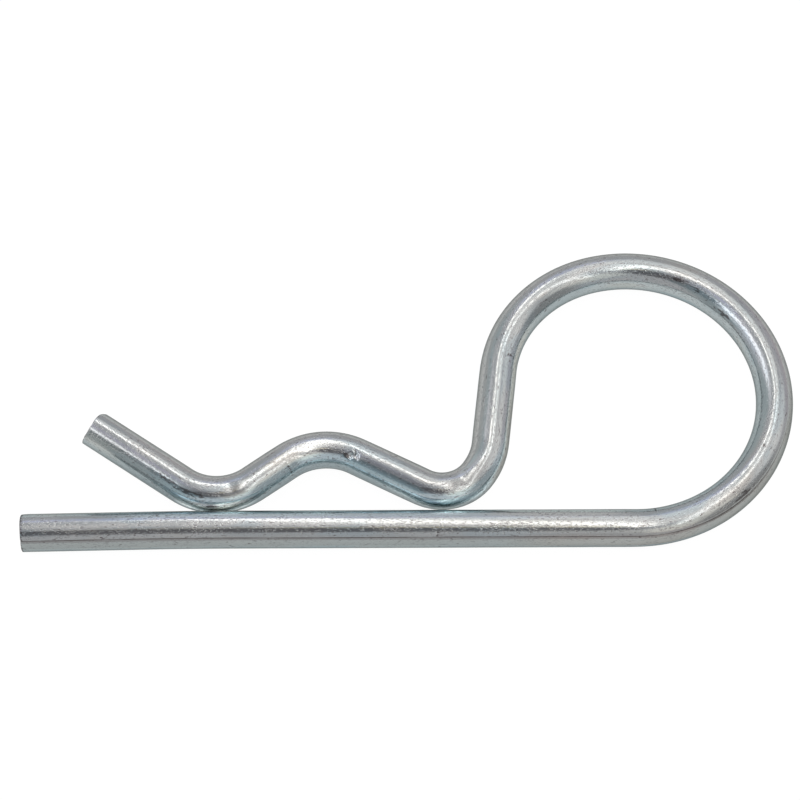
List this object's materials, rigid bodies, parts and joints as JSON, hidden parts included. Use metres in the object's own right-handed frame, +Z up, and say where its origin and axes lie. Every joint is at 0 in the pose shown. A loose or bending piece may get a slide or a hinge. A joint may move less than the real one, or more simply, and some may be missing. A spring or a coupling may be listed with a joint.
{
  "type": "hitch pin clip",
  "caption": "R-shaped spring wire retaining clip: a straight leg, a round loop and a waved leg that grips a drilled hitch pin.",
  "frame": {"origin": "under the middle of the clip's outline, on the plane that it lies on", "axes": "+X along the straight leg towards the loop, +Y from the straight leg towards the waved leg, +Z up, square to the plane of the clip"},
  "size_m": [0.0818, 0.035, 0.004],
  "materials": {
    "wire": "drawn spring steel wire with a bright clear zinc plating"
  },
  "bodies": {
    "root": {"clip": "wire"}
  },
  "joints": []
}
